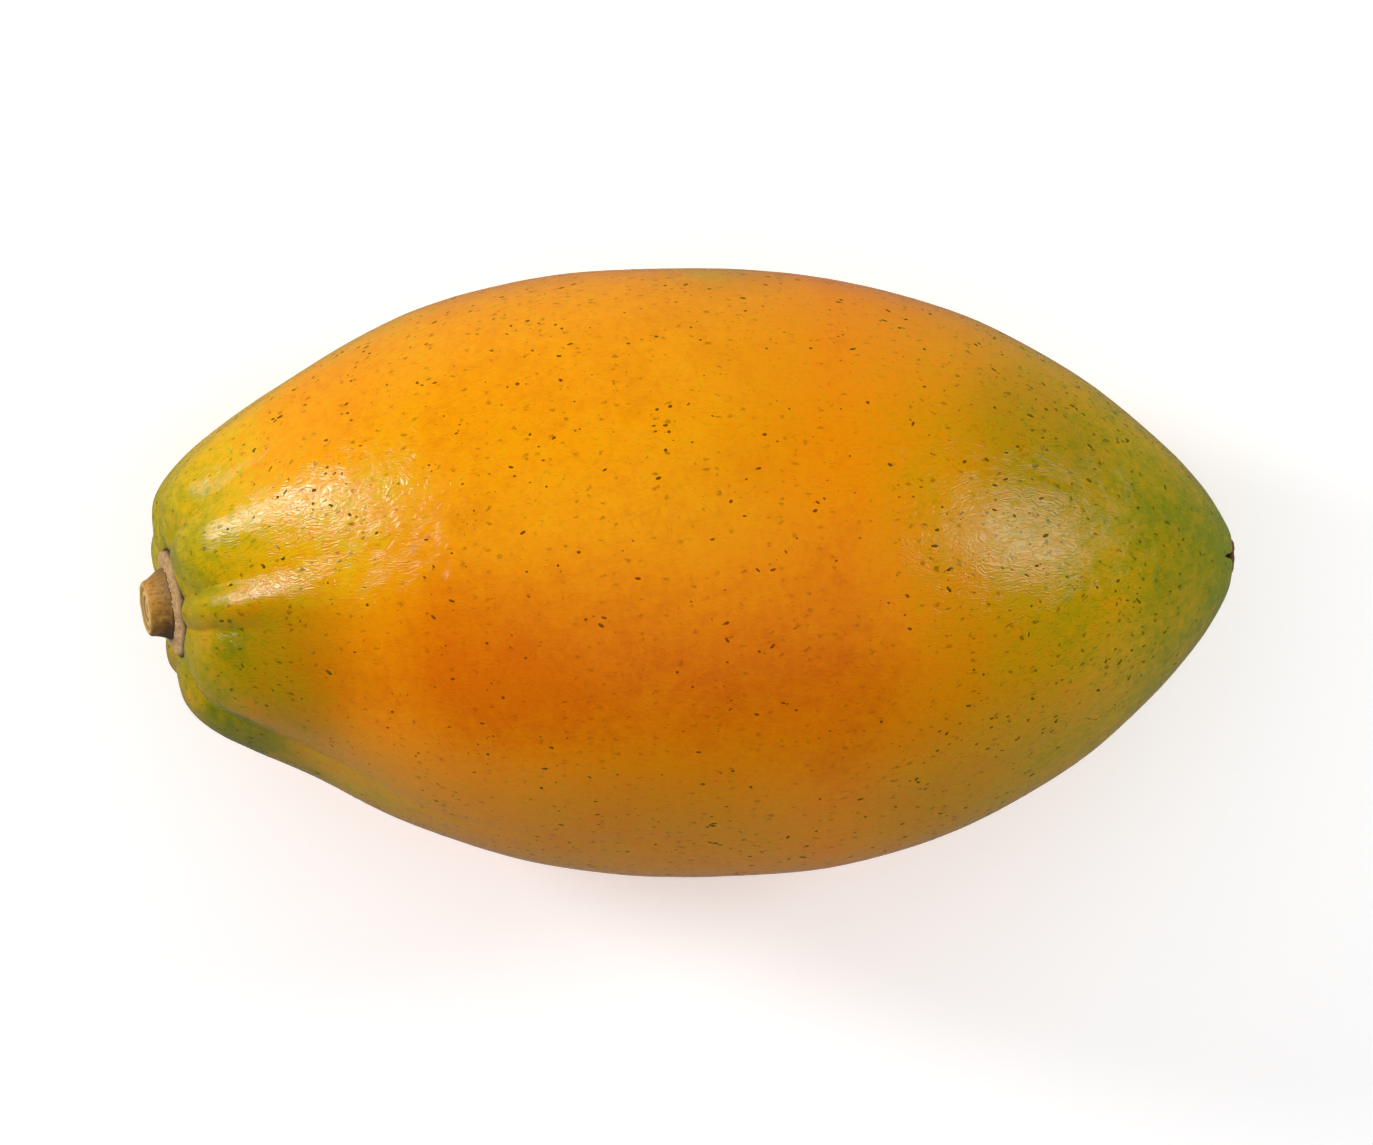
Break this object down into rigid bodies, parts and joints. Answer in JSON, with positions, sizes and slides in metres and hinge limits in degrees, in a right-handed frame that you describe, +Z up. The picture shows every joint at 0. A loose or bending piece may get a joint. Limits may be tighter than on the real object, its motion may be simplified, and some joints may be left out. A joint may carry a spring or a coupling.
{
  "type": "papaya",
  "caption": "Whole ripe papaya lying on its side, with a lobed shoulder round a short cut stem and a pointed blossom end.",
  "frame": {"origin": "on the surface that the fruit rests on, under the middle of its bounding box", "axes": "+X along the fruit towards its blossom end, +Y across it, +Z up"},
  "size_m": [0.2028, 0.1128, 0.1076],
  "materials": {
    "skin": "waxy satin fruit skin, orange with yellow-green ends and small dark specks",
    "calyx": "dry grey-brown cork",
    "stem": "amber-brown cut stem with pale rings on its end",
    "scar": "dark brown dry scar"
  },
  "bodies": {
    "root": {"papaya_fruit": "skin", "calyx_collar": "calyx", "stem_stub": "stem", "blossom_scar": "scar"}
  },
  "joints": []
}
